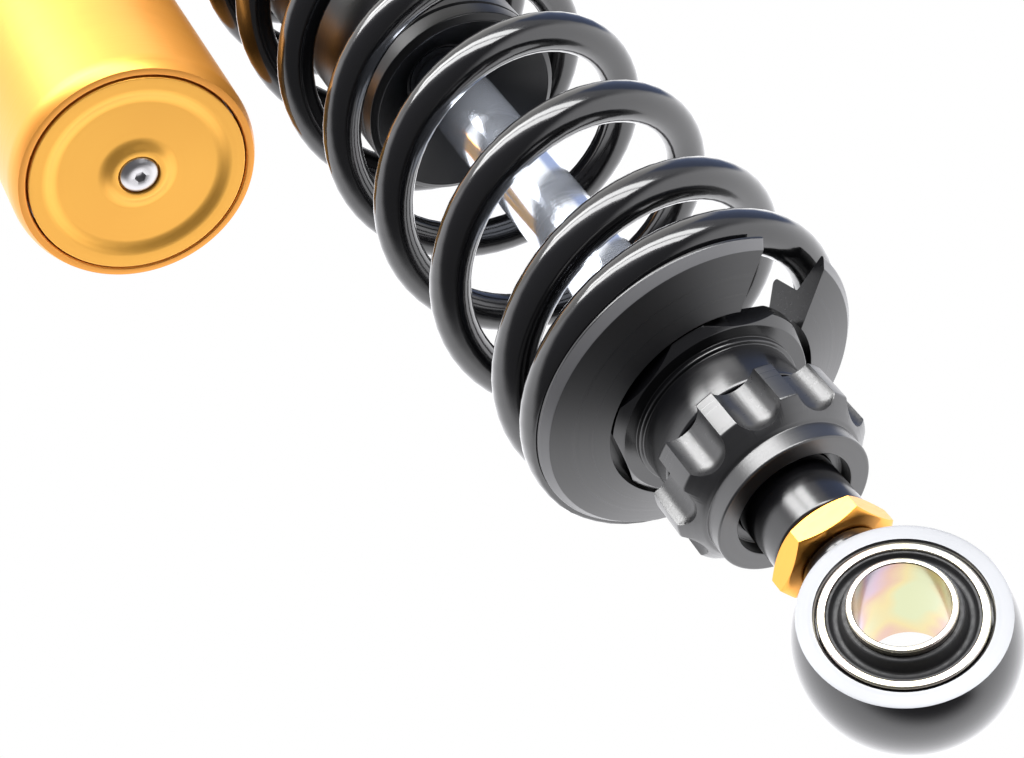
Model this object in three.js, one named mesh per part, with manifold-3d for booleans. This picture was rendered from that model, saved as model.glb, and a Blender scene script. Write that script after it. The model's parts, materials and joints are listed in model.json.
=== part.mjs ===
// Motorcycle coilover damper with a piggyback reservoir, millimetres, +Z up.
// Heights are measured up from the centre of the lower eye, and the finished group is
// lowered by the eye-to-eye length, so that the origin is the centre of the top eye.
import * as THREE from 'three';
import { mergeVertices } from 'three/addons/utils/BufferGeometryUtils.js';
import Module from 'manifold-3d';

const wasm = await Module();
wasm.setup();

// Overall layout
const eyeToEye = 335;
const reservoirX = -55.6;
const fitGap = 0.2;
const clearance = 0.3;

// Eyes and their rubber bushes
const eyeBallR = 14.5;
const eyeHalfWidth = 6.04;
const eyeBoreR = 10.75;
const shellOuterR = 10.6;
const shellInnerR = 9.45;
const rubberOuterR = 9.35;
const rubberInnerR = 6.92;
const rubberHalfLength = 5.6;
const sleeveOuterR = 6.82;
const boltR = 6.0;
const sleeveHalfLength = 8.15;

// Jam nut and rod end housing
const stemR = 5.0;
const stemTopZ = 29;
const stemBoreR = 5.1;
const nutFlats = 15.4;
const nutBottomZ = 14.8;
const nutTopZ = 18.3;
const shankR = 7.4;
const shankBottomZ = 18.6;
const neckR = 12.36;
const neckBottomZ = 38.6;
const neckTopZ = 46.2;
const flangeR = 16.2;
const flangeFlats = 30.2;
const flangeCornerDeg = -34.5;
const flangeTopZ = 50;

// Rebound knob and the needle that it drives
const knobR = 15.07;
const knobTopZ = 38.2;
const knobShoulderZ = 31.4;
const collarR = 11.95;
const collarBottomZ = 25.7;
const collarTopZ = 28.7;
const collarRecessR = 8.9;
const knobBoreR = 7.6;
const knobGrooveR = 10.4;
const fluteCount = 10;
const fluteR = 3.6;
const fluteAxisR = 15.9;
const fluteEndZ = 31.9;
const fluteCentreDeg = -90.5;
const crossPinZ = 34;
const crossPinR = 1.0;
const needleR = 1.6;

// Lower spring seat
const seatR = 25.9;
const seatTopZ = 52.3;
const seatFaceR = 24.8;
const seatFaceZ = 50.5;
const seatRimBottomZ = 51.8;
const seatPilotR = 19.9;
const seatPilotLipR = 18.2;
const seatPilotTopZ = 56.9;
const seatDishR = 11.8;
const seatDishZ = 52.1;
const seatCounterboreR = 16.6;
const seatCounterboreZ = 47.6;
const slotHalfWidth = 6.5;
const slotDeg = -42;

// Main spring
const wireR = 3.24;
const coilR = 23.9;
const coilPitch = 22.4;
const closedPitch = 6.7;
const closedTurns = 0.9;
const rampTurns = 0.5;
const activeTurns = 7.2;
const coilStartZ = 52.6;
const coilStartDeg = 88.3;
const springTopZ = 240.8;

// Piston rod and piston
const rodR = 6.18;
const rodBoreR = 1.9;
const rodBottomZ = 37;
const rodShoulderZ = 172;
const rodTopZ = 203;
const rodTipR = 4.5;
const rodRunR = 6.4;
const pistonBottomZ = 176;
const pistonTopZ = 189;

// Damper tube
const tubeInnerR = 15;
const tubeOuterR = 17.6;
const threadR = 18.9;
const tubeBottomZ = 137.5;
const threadBottomZ = 222;
const tubeTopZ = 289.7;
const endCapBottomZ = 133;
const endCapDishTopZ = 142;
const endCapTopZ = 147;
const wiperBottomZ = 142.8;
const sealHeadTopZ = 162;

// Head casting
const headR = 22.5;
const headBottomZ = 280;
const headTopZ = 305;
const reservoirHeadR = 24.2;
const adjusterBossTopZ = 308;
const cavityTopZ = 299;
const passageZ = 295;
const valveBoreR = 4.2;

// Reservoir
const reservoirR = 22.8;
const reservoirEdgeR = 7.7;
const reservoirInnerR = 19;
const reservoirBottomZ = 157.3;
const reservoirTopZ = 276;
const spigotR = 21;
const spigotTopZ = 288;
const capPocketR = 20.35;
const capR = 19.9;
const capTopZ = 166.5;
const floatingPistonZ = 212;

// Segments round a turned piece: outer pieces, pieces inside them, and small round stock
const smooth = 24;
const inner = 16;
const small = 10;

const shock = new THREE.Group();
shock.position.z = -eyeToEye;

const finishes = {
  blackGloss: [0x141416, 0.18, 0.3],
  blackAnodised: [0x2a2b2e, 0.35, 0.6],
  knobGrey: [0x4a4b4d, 0.35, 0.8],
  gold: [0xdf9a1c, 0.28, 0.9],
  chrome: [0xd8dde4, 0.08, 1],
  steel: [0x9a9da1, 0.35, 0.9],
  zinc: [0xd9cf9a, 0.25, 0.9],
  bronze: [0xa9793d, 0.45, 0.8],
  rubber: [0x18181a, 0.8, 0],
};

function add(name, geometry, finish, parent = shock) {
  const [color, roughness, metalness] = finishes[finish];
  const mesh = new THREE.Mesh(geometry, new THREE.MeshStandardMaterial({ color, roughness, metalness }));
  mesh.name = name;
  parent.add(mesh);
  return mesh;
}

// Solids for booleans: a closed geometry with merged vertices becomes a Manifold and comes back.
function solid(geometry) {
  const plain = geometry.index ? geometry.clone() : mergeVertices(geometry.clone());
  plain.deleteAttribute('normal');
  plain.deleteAttribute('uv');
  const merged = mergeVertices(plain, 1e-4);
  const vertProperties = new Float32Array(merged.attributes.position.array);
  const triVerts = new Uint32Array(merged.index.array);
  return new wasm.Manifold(new wasm.Mesh({ numProp: 3, vertProperties, triVerts }));
}

function geometryOf(manifold) {
  const mesh = manifold.getMesh();
  const geometry = new THREE.BufferGeometry();
  geometry.setAttribute('position', new THREE.BufferAttribute(mesh.vertProperties, 3));
  geometry.setIndex(new THREE.BufferAttribute(mesh.triVerts, 1));
  return geometry;
}

// A turned piece about Z from a profile of [radius, height] points, listed anticlockwise.
// A profile that touches the axis starts and ends there, and any other closes on itself.
function turned(profile, segments = smooth) {
  const points = profile.map(([r, z]) => new THREE.Vector2(r, z));
  if (profile[0][0] > 0) points.push(points[0].clone());
  return new THREE.LatheGeometry(points, segments).rotateX(Math.PI / 2);
}

function tubeProfile(innerR, outerR, bottomZ, topZ, chamfer = 0) {
  if (chamfer === 0) return [[innerR, bottomZ], [outerR, bottomZ], [outerR, topZ], [innerR, topZ]];
  return [
    [innerR, bottomZ], [outerR - chamfer, bottomZ], [outerR, bottomZ + chamfer],
    [outerR, topZ - chamfer], [outerR - chamfer, topZ], [innerR, topZ],
  ];
}

function rod(radius, bottomZ, topZ, segments = smooth) {
  return turned([[0, bottomZ], [radius, bottomZ], [radius, topZ], [0, topZ]], segments);
}

function box(sizeX, sizeY, sizeZ, x, y, z) {
  return new THREE.BoxGeometry(sizeX, sizeY, sizeZ).translate(x, y, z);
}

function hexPrism(flats, bottomZ, topZ, turnDeg = 0) {
  const prism = new THREE.CylinderGeometry(flats / Math.sqrt(3), flats / Math.sqrt(3), topZ - bottomZ, 6);
  prism.rotateX(Math.PI / 2).rotateZ(THREE.MathUtils.degToRad(turnDeg));
  return prism.translate(0, 0, (bottomZ + topZ) / 2);
}

function unite(geometries) {
  return geometries.map(solid).reduce((sum, next) => sum.add(next));
}

function cutAll(body, cutters) {
  return cutters.reduce((rest, cutter) => rest.subtract(solid(cutter)), body);
}

// Cutters repeated round the Z axis, with the first one's centre at startDeg.
function around(count, startDeg, makeCutter) {
  return Array.from({ length: count }, (_, i) => {
    const turn = THREE.MathUtils.degToRad(startDeg + (360 / count) * i);
    return makeCutter().rotateZ(turn);
  });
}

// ---------------------------------------------------------------- eyes and bushes

function eyeBall(z) {
  const ball = solid(new THREE.SphereGeometry(eyeBallR, smooth, 14).translate(0, 0, z));
  const side = 4 * eyeBallR;
  return ball.intersect(solid(box(side, 2 * eyeHalfWidth, side, 0, 0, z)));
}

function eyeBore(z) {
  return rod(eyeBoreR, -2 * eyeHalfWidth, 2 * eyeHalfWidth).rotateX(Math.PI / 2).translate(0, 0, z);
}

function addBush(prefix, z) {
  const lay = (mesh) => {
    mesh.rotation.x = Math.PI / 2;
    mesh.position.z = z;
  };
  lay(add(`${prefix}_bush_shell`,
    turned(tubeProfile(shellInnerR, shellOuterR, -eyeHalfWidth, eyeHalfWidth, 0.3)), 'zinc'));
  lay(add(`${prefix}_bush_rubber`,
    turned(tubeProfile(rubberInnerR, rubberOuterR, -rubberHalfLength, rubberHalfLength)), 'rubber'));
  lay(add(`${prefix}_bush_sleeve`,
    turned(tubeProfile(boltR, sleeveOuterR, -sleeveHalfLength, sleeveHalfLength, 0.2)), 'zinc'));
}

function addLowerEye() {
  const bossR = eyeHalfWidth - 0.1;
  const insideBallZ = 10;
  const body = eyeBall(0)
    .add(solid(rod(bossR, insideBallZ, nutBottomZ - fitGap)))
    .add(solid(rod(stemR, insideBallZ, stemTopZ)));
  add('lower_eye', geometryOf(cutAll(body, [eyeBore(0)])), 'blackGloss');
  addBush('lower', 0);

  const cornerDeg = 235.8;
  const cornerR = 9;
  const chamferedBlank = solid(turned(tubeProfile(stemBoreR, cornerR, nutBottomZ, nutTopZ, 0.7)));
  const hex = solid(hexPrism(nutFlats, nutBottomZ - 1, nutTopZ + 1, cornerDeg));
  add('jam_nut', geometryOf(chamferedBlank.intersect(hex)), 'gold');
}

// ---------------------------------------------------------------- rod end and rebound adjuster

function addRodEnd() {
  const rodSocketR = rodR + 0.12;
  const chamberR = 4;
  const profile = [
    [stemBoreR, shankBottomZ], [shankR, shankBottomZ], [shankR, neckBottomZ], [neckR - 0.5, neckBottomZ],
    [neckR, neckBottomZ + 0.5], [neckR, neckTopZ], [neckR + 0.8, neckTopZ + 0.3],
    [flangeR - 1.1, neckTopZ + 0.5], [flangeR, neckTopZ + 1.6], [flangeR, flangeTopZ],
    [rodSocketR, flangeTopZ], [rodSocketR, rodBottomZ - fitGap], [chamberR, rodBottomZ - fitGap],
    [chamberR, stemTopZ + 0.5], [stemBoreR, stemTopZ + 0.5],
  ];
  const slotHeight = 5;
  const slotWidth = 2 * crossPinR + clearance;
  const pinSlot = box(4 * shankR, slotWidth, slotHeight, 0, 0, crossPinZ);
  const aroundFlange = solid(rod(flangeR + 2, neckTopZ, flangeTopZ + 1));
  const hexagon = solid(hexPrism(flangeFlats, neckTopZ - 1, flangeTopZ + 2, flangeCornerDeg));
  const body = cutAll(solid(turned(profile)), [pinSlot]);
  add('rod_end_housing', geometryOf(body.subtract(aroundFlange.subtract(hexagon))), 'blackAnodised');

  const pinHalfLength = knobGrooveR - 0.5;
  add('rebound_cross_pin', rod(crossPinR, -pinHalfLength, pinHalfLength, small)
    .rotateY(Math.PI / 2).translate(0, 0, crossPinZ), 'steel');
  const needleBottomZ = crossPinZ + crossPinR + 0.1;
  const needleTopZ = rodTopZ - 1;
  add('rebound_needle', turned([
    [0, needleBottomZ], [needleR, needleBottomZ], [needleR, needleTopZ - 5], [0.4, needleTopZ],
    [0, needleTopZ],
  ], small), 'steel');
}

function addReboundKnob() {
  const grooveBottomZ = 30.6;
  const grooveTopZ = 37.2;
  const profile = [
    [collarRecessR, collarBottomZ], [collarR, collarBottomZ], [collarR, collarTopZ],
    [knobR, knobShoulderZ], [knobR, knobTopZ - 0.4], [knobR - 0.4, knobTopZ], [knobBoreR, knobTopZ],
    [knobBoreR, grooveTopZ], [knobGrooveR, grooveTopZ], [knobGrooveR, grooveBottomZ],
    [knobBoreR, grooveBottomZ], [knobBoreR, collarTopZ - 0.7], [collarRecessR, collarTopZ - 0.7],
  ];
  const fluteLength = 12;
  const flutes = around(fluteCount, fluteCentreDeg, () => (
    new THREE.CapsuleGeometry(fluteR, fluteLength, 3, small).rotateX(Math.PI / 2)
      .translate(fluteAxisR, 0, fluteEndZ + fluteLength / 2)));
  add('rebound_knob', geometryOf(cutAll(solid(turned(profile, 2 * fluteCount)), flutes)), 'knobGrey');
}

// ---------------------------------------------------------------- springs and seats

function addLowerSeat() {
  const boreR = rodRunR + 0.1;
  const profile = [
    [boreR, flangeTopZ + fitGap], [seatCounterboreR, flangeTopZ + fitGap],
    [seatCounterboreR, seatCounterboreZ], [seatFaceR, seatFaceZ], [seatR, seatRimBottomZ],
    [seatR, seatTopZ], [seatPilotR, seatTopZ], [seatPilotLipR + 0.7, seatPilotTopZ - 0.3],
    [seatPilotLipR, seatPilotTopZ], [seatDishR, seatDishZ], [boreR, seatDishZ],
  ];
  const reach = 2 * seatR;
  const slot = box(reach, 2 * slotHalfWidth, reach, reach / 2, 0, seatTopZ)
    .rotateZ(THREE.MathUtils.degToRad(slotDeg));
  add('lower_spring_seat', geometryOf(cutAll(solid(turned(profile)), [slot])), 'blackAnodised');
}

// Height of the wire's centre after a number of turns: closed ends, with a smooth change of pitch
// to the active coils, and the top end a mirror of the bottom one.
const totalTurns = 2 * (closedTurns + rampTurns) + activeTurns;

function endRise(turns) {
  const ramp = Math.max(turns - closedTurns, 0);
  return closedPitch * turns + ((coilPitch - closedPitch) * ramp * ramp) / (2 * rampTurns);
}

function coilHeight(turns) {
  const endTurns = closedTurns + rampTurns;
  if (turns <= endTurns) return endRise(turns);
  const middle = endRise(endTurns) + coilPitch * (Math.min(turns, totalTurns - endTurns) - endTurns);
  if (turns <= totalTurns - endTurns) return middle;
  return middle + endRise(endTurns) - endRise(totalTurns - turns);
}

class CoilCurve extends THREE.Curve {
  getPoint(t, target = new THREE.Vector3()) {
    const turns = t * totalTurns;
    const angle = THREE.MathUtils.degToRad(coilStartDeg) + 2 * Math.PI * turns;
    return target.set(coilR * Math.cos(angle), coilR * Math.sin(angle), coilStartZ + coilHeight(turns));
  }
}

function addSpring() {
  const stepsPerTurn = 16;
  const section = new THREE.Shape(new THREE.EllipseCurve(0, 0, wireR, wireR).getPoints(8).slice(0, -1));
  const wire = new THREE.ExtrudeGeometry(section, {
    steps: Math.round(stepsPerTurn * totalTurns), extrudePath: new CoilCurve(), curveSegments: 1,
  });
  const bottomZ = seatTopZ + 0.1;
  const topZ = springTopZ - 0.1;
  const span = 4 * coilR;
  const ground = solid(wire).intersect(
    solid(box(span, span, topZ - bottomZ, 0, 0, (topZ + bottomZ) / 2)));
  add('main_spring', geometryOf(ground), 'blackGloss');
}

function addPreloadParts() {
  const threadBoreR = threadR + 0.25;
  const pilotR = 20.0;
  const pilotBottomZ = springTopZ - 4;
  const seatOuterR = 27.2;
  const seatChamfer = 0.6;
  const seatPlateTopZ = springTopZ + 6;
  add('upper_spring_seat', turned([
    [threadBoreR, pilotBottomZ], [pilotR, pilotBottomZ], [pilotR, springTopZ],
    [seatOuterR - seatChamfer, springTopZ], [seatOuterR, springTopZ + seatChamfer],
    [seatOuterR, seatPlateTopZ - seatChamfer], [seatOuterR - seatChamfer, seatPlateTopZ],
    [threadBoreR, seatPlateTopZ],
  ]), 'blackAnodised');

  const notchedRing = (name, outerR, bottomZ, height) => {
    const notchDepth = 2.5;
    const notchWidth = 6;
    const notches = around(8, 22.5, () => (
      box(2 * notchDepth, notchWidth, 2 * height, outerR, 0, bottomZ + height / 2)));
    const blank = solid(turned(tubeProfile(threadBoreR, outerR, bottomZ, bottomZ + height, 0.8)));
    add(name, geometryOf(cutAll(blank, notches)), 'blackAnodised');
  };
  const ringBottomZ = seatPlateTopZ + fitGap;
  const ringHeight = 11;
  notchedRing('preload_ring', 27.6, ringBottomZ, ringHeight);
  notchedRing('preload_lock_ring', 26, ringBottomZ + ringHeight + fitGap, 7);
}

// ---------------------------------------------------------------- piston rod assembly

function addRodAndPiston() {
  add('piston_rod', turned([
    [rodBoreR, rodBottomZ], [rodR, rodBottomZ], [rodR, rodShoulderZ], [rodTipR, rodShoulderZ],
    [rodTipR, rodTopZ], [rodBoreR, rodTopZ],
  ]), 'chrome');

  const boreR = rodTipR + 0.15;
  const bumperR = 10;
  add('top_out_bumper', turned(tubeProfile(rodRunR, bumperR, sealHeadTopZ + 1, rodShoulderZ - 1, 1),
    inner), 'rubber');
  const stack = (name, firstZ, radii) => {
    const shim = 0.55;
    const profile = [[boreR, firstZ]];
    radii.forEach((radius, i) => {
      profile.push([radius, firstZ + i * shim], [radius, firstZ + (i + 1) * shim]);
    });
    profile.push([boreR, firstZ + radii.length * shim]);
    add(name, turned(profile, inner), 'steel');
  };
  stack('rebound_shims', rodShoulderZ + fitGap, [8.5, 9.5, 10.5, 11.5, 12.5]);
  stack('compression_shims', pistonTopZ + fitGap, [12.5, 11.5, 10.5, 9.5]);

  const pistonMidZ = (pistonBottomZ + pistonTopZ) / 2;
  const pistonR = tubeInnerR - 0.2;
  const bandBottomZ = pistonMidZ - 4;
  const bandTopZ = pistonMidZ + 4;
  const bandSeatR = pistonR - 1;
  const piston = solid(turned([
    [boreR, pistonBottomZ], [pistonR, pistonBottomZ], [pistonR, bandBottomZ],
    [bandSeatR, bandBottomZ], [bandSeatR, bandTopZ], [pistonR, bandTopZ], [pistonR, pistonTopZ],
    [boreR, pistonTopZ],
  ], inner));
  const portR = 1.7;
  const portCircleR = 9.5;
  const ports = around(6, 0, () => (
    rod(portR, pistonBottomZ - 1, pistonTopZ + 1, small).translate(portCircleR, 0, 0)));
  add('piston', geometryOf(cutAll(piston, ports)), 'steel');
  add('piston_band', turned(tubeProfile(bandSeatR + 0.1, tubeInnerR - 0.15,
    bandBottomZ + 0.1, bandTopZ - 0.1), inner), 'bronze');

  const pistonNutFlats = 14;
  const nutZ = pistonTopZ + 2.7;
  const nutEndZ = nutZ + 7;
  const nut = solid(hexPrism(pistonNutFlats, nutZ, nutEndZ))
    .subtract(solid(rod(boreR, nutZ - 1, nutEndZ + 1)));
  add('piston_nut', geometryOf(nut), 'steel');
}

// ---------------------------------------------------------------- damper body

function addDamperBody() {
  add('damper_tube', turned([
    [tubeInnerR, tubeBottomZ], [tubeOuterR, tubeBottomZ], [tubeOuterR, threadBottomZ],
    [threadR, threadBottomZ + 1.2], [threadR, tubeTopZ - 0.8], [threadR - 0.8, tubeTopZ],
    [tubeInnerR, tubeTopZ],
  ]), 'blackAnodised');

  const capBoreR = 7.1;
  const wiperPocketR = 8.8;
  const capSpigotR = tubeInnerR - 0.15;
  add('tube_end_cap', turned([
    [capBoreR, endCapDishTopZ], [tubeOuterR - 1.2, endCapBottomZ],
    [tubeOuterR, endCapBottomZ + 0.8], [tubeOuterR, tubeBottomZ - fitGap],
    [capSpigotR, tubeBottomZ - fitGap], [capSpigotR, endCapTopZ], [wiperPocketR, endCapTopZ],
    [wiperPocketR, wiperBottomZ - fitGap], [capBoreR, wiperBottomZ - fitGap],
  ]), 'blackAnodised');
  add('rod_wiper', turned(tubeProfile(rodRunR, wiperPocketR - fitGap, wiperBottomZ,
    endCapTopZ - fitGap, 0.6), inner), 'rubber');

  const sealHeadR = tubeInnerR - 0.2;
  const sealHeadBottomZ = endCapTopZ + fitGap;
  const sealPocketR = 9.4;
  const sealPocketTopZ = sealHeadBottomZ + 5;
  const bushOuterR = 7.4;
  const ringGrooveR = tubeInnerR - 2;
  const ringGrooveZ = 154;
  const ringGrooveTopZ = 157;
  add('seal_head', turned([
    [sealPocketR, sealHeadBottomZ], [sealHeadR, sealHeadBottomZ], [sealHeadR, ringGrooveZ],
    [ringGrooveR, ringGrooveZ], [ringGrooveR, ringGrooveTopZ], [sealHeadR, ringGrooveTopZ],
    [sealHeadR, sealHeadTopZ], [bushOuterR + 0.1, sealHeadTopZ], [bushOuterR + 0.1, sealPocketTopZ],
    [sealPocketR, sealPocketTopZ],
  ], inner), 'steel');
  add('rod_seal', turned(tubeProfile(rodRunR, sealPocketR - 0.1, sealHeadBottomZ + clearance,
    sealPocketTopZ - fitGap), inner), 'rubber');
  add('rod_guide_bush', turned(tubeProfile(rodRunR, bushOuterR, sealPocketTopZ + clearance,
    sealHeadTopZ - clearance), inner), 'bronze');
  add('seal_head_o_ring', turned(tubeProfile(ringGrooveR + 0.1, sealHeadR,
    ringGrooveZ + fitGap, ringGrooveTopZ - fitGap, 0.5), inner), 'rubber');
}

function addHead() {
  const bridgeHalfWidth = 11;
  const bridgeBottomZ = 282;
  const bridgeTopZ = 302;
  const bridgeInset = 4;
  const bridge = new THREE.Shape();
  bridge.moveTo(0, bridgeInset - headR);
  bridge.quadraticCurveTo(reservoirX / 2, -bridgeHalfWidth, reservoirX, bridgeInset - reservoirHeadR);
  bridge.lineTo(reservoirX, reservoirHeadR - bridgeInset);
  bridge.quadraticCurveTo(reservoirX / 2, bridgeHalfWidth, 0, headR - bridgeInset);
  bridge.closePath();
  const bridgeBody = new THREE.ExtrudeGeometry(bridge, {
    depth: bridgeTopZ - bridgeBottomZ, bevelEnabled: false, curveSegments: small,
  }).translate(0, 0, bridgeBottomZ);

  const shoulder = 4;
  const eyeNeckR = 9.5;
  const eyeNeckBottomZ = 317;
  const eyeNeckTopZ = 326;
  const damperCap = turned([
    [0, headBottomZ], [headR - 1, headBottomZ], [headR, headBottomZ + 1], [headR, headTopZ - shoulder],
    [headR - shoulder, headTopZ], [eyeNeckR + shoulder, headTopZ + 2], [eyeNeckR, eyeNeckBottomZ],
    [eyeNeckR - 0.5, eyeNeckTopZ], [0, eyeNeckTopZ],
  ]);
  const cupBottomZ = reservoirTopZ + fitGap;
  const adjusterBossR = 10.5;
  const reservoirCup = turned([
    [0, cupBottomZ], [reservoirHeadR - 1, cupBottomZ], [reservoirHeadR, cupBottomZ + 1],
    [reservoirHeadR, headTopZ - shoulder], [reservoirHeadR - shoulder, headTopZ],
    [adjusterBossR + 0.5, headTopZ], [adjusterBossR, adjusterBossTopZ], [0, adjusterBossTopZ],
  ]).translate(reservoirX, 0, 0);
  const body = unite([bridgeBody, damperCap, reservoirCup]).add(eyeBall(eyeToEye));

  const cutBottomZ = headBottomZ - 40;
  const socket = (mouthR, endGapZ, cavityR) => turned([
    [0, cutBottomZ], [mouthR, cutBottomZ], [mouthR, endGapZ], [cavityR, endGapZ],
    [cavityR, cavityTopZ], [0, cavityTopZ],
  ]);
  const damperSocket = socket(threadR + 0.1, tubeTopZ + clearance, tubeInnerR);
  const reservoirSocket = socket(spigotR + 0.1, spigotTopZ + clearance, reservoirInnerR)
    .translate(reservoirX, 0, 0);
  const passageR = 3;
  const passage = rod(passageR, 0, -reservoirX, small).rotateY(-Math.PI / 2).translate(0, 0, passageZ);
  const valveBore = rod(valveBoreR, cavityTopZ - 1, adjusterBossTopZ + 1, inner)
    .translate(reservoirX, 0, 0);
  add('head', geometryOf(cutAll(body, [
    damperSocket, reservoirSocket, passage, valveBore, eyeBore(eyeToEye),
  ])), 'blackGloss');
  addBush('upper', eyeToEye);
}

// ---------------------------------------------------------------- reservoir

function addReservoir() {
  const reservoir = new THREE.Group();
  reservoir.position.x = reservoirX;
  shock.add(reservoir);
  const put = (name, geometry, finish) => add(name, geometry, finish, reservoir);

  const edgeTopZ = reservoirBottomZ + 3.9;
  const edgeArc = [30, 20, 10, 0].map((deg) => {
    const angle = THREE.MathUtils.degToRad(deg);
    return [
      reservoirR - reservoirEdgeR * (1 - Math.cos(angle)),
      edgeTopZ - reservoirEdgeR * Math.sin(angle),
    ];
  });
  const ledgeZ = capTopZ + clearance;
  put('reservoir_tube', turned([
    [capPocketR + 0.25, reservoirBottomZ], [capPocketR + 1, reservoirBottomZ], ...edgeArc,
    [reservoirR, reservoirTopZ], [spigotR, reservoirTopZ], [spigotR, spigotTopZ],
    [reservoirInnerR, spigotTopZ], [reservoirInnerR, ledgeZ], [capPocketR, ledgeZ],
    [capPocketR, reservoirBottomZ + 0.3],
  ]), 'gold');

  const capFaceZ = 157.2;
  const dishR = 16.5;
  const dishDepth = 0.9;
  const bossR = 6.6;
  const screwR = 2.5;
  const screwHeadR = 3.7;
  const screwSeatZ = capFaceZ + 1.2;
  const capEdgeR = 20;
  const clipGrooveR = 19.1;
  const clipZ = 160.6;
  const clipTopZ = 161.8;
  const ringGrooveR = 18.3;
  const ringGrooveZ = 163;
  const ringGrooveTopZ = 165.2;
  put('reservoir_cap', turned([
    [screwR + fitGap, screwSeatZ], [screwHeadR + fitGap, screwSeatZ], [screwHeadR + fitGap, capFaceZ],
    [bossR - 1.8, capFaceZ], [bossR, capFaceZ + dishDepth],
    [dishR - 1, capFaceZ + dishDepth], [dishR, capFaceZ], [capEdgeR - 0.4, capFaceZ],
    [capEdgeR, capFaceZ + 0.4], [capEdgeR, clipZ], [clipGrooveR, clipZ], [clipGrooveR, clipTopZ],
    [capR, clipTopZ], [capR, ringGrooveZ], [ringGrooveR, ringGrooveZ],
    [ringGrooveR, ringGrooveTopZ], [capR, ringGrooveTopZ], [capR, capTopZ],
    [screwR + fitGap, capTopZ],
  ]), 'gold');
  const ringOuterR = capPocketR - 0.15;
  put('reservoir_cap_clip', turned(tubeProfile(clipGrooveR + 0.1, ringOuterR, clipZ + 0.1,
    clipTopZ - 0.1)), 'steel');
  put('reservoir_cap_o_ring', turned(tubeProfile(ringGrooveR + 0.1, ringOuterR,
    ringGrooveZ + fitGap, ringGrooveTopZ - fitGap, 0.4)), 'rubber');

  const screwHeadZ = 156.7;
  const screwHeadTopZ = screwSeatZ - fitGap;
  const screwEndZ = capTopZ - 0.5;
  const screwSocketFlats = 2;
  const screw = solid(turned([
    [0, screwHeadZ], [screwHeadR - 1.2, screwHeadZ], [screwHeadR, screwHeadZ + 0.8],
    [screwHeadR, screwHeadTopZ], [screwR, screwHeadTopZ], [screwR, screwEndZ], [0, screwEndZ],
  ], inner));
  const socket = hexPrism(screwSocketFlats, screwHeadZ - 1, screwHeadZ + 1);
  put('gas_valve_screw', geometryOf(cutAll(screw, [socket])), 'steel');

  const pistonR = reservoirInnerR - 0.2;
  const floatingTopZ = floatingPistonZ + 16;
  const skirtInnerR = 14.5;
  const crownZ = floatingPistonZ + 5;
  const grooveR = pistonR - 1.6;
  const grooveZ = floatingPistonZ + 6;
  const grooveTopZ = grooveZ + 3;
  put('floating_piston', turned([
    [0, crownZ], [skirtInnerR, crownZ], [skirtInnerR, floatingPistonZ], [pistonR, floatingPistonZ],
    [pistonR, grooveZ], [grooveR, grooveZ], [grooveR, grooveTopZ], [pistonR, grooveTopZ],
    [pistonR, floatingTopZ], [0, floatingTopZ],
  ], inner), 'steel');
  put('floating_piston_o_ring', turned(tubeProfile(grooveR + 0.1, pistonR, grooveZ + fitGap,
    grooveTopZ - fitGap, 0.4), inner), 'rubber');

  const knobBottomZ = adjusterBossTopZ + clearance;
  const knobTop = knobBottomZ + 8;
  const compressionKnobR = 9.5;
  const valveStemR = 3;
  const valveNoseZ = 291;
  const knobBlank = solid(turned([
    [valveStemR + fitGap, knobBottomZ], [compressionKnobR, knobBottomZ],
    [compressionKnobR, knobTop - 1], [compressionKnobR - 1, knobTop], [valveStemR + fitGap, knobTop],
  ]));
  const gripR = 2;
  const grips = around(fluteCount, 0, () => (
    rod(gripR, knobBottomZ - 1, knobTop + 1, small).translate(compressionKnobR + 0.8, 0, 0)));
  put('compression_knob', geometryOf(cutAll(knobBlank, grips)), 'knobGrey');
  put('compression_valve_stem', turned([
    [0, valveNoseZ], [valveStemR / 2, valveNoseZ], [valveStemR, valveNoseZ + 3],
    [valveStemR, knobTop - 0.4], [0, knobTop - 0.4],
  ], inner), 'steel');
}

addLowerEye();
addRodEnd();
addReboundKnob();
addLowerSeat();
addSpring();
addPreloadParts();
addRodAndPiston();
addDamperBody();
addHead();
addReservoir();

export default shock;
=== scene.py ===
"""Looks of a motorcycle coilover damper with a piggyback reservoir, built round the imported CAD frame."""
import json
import math

import bmesh
import bpy
from mathutils import Matrix, Vector


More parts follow.
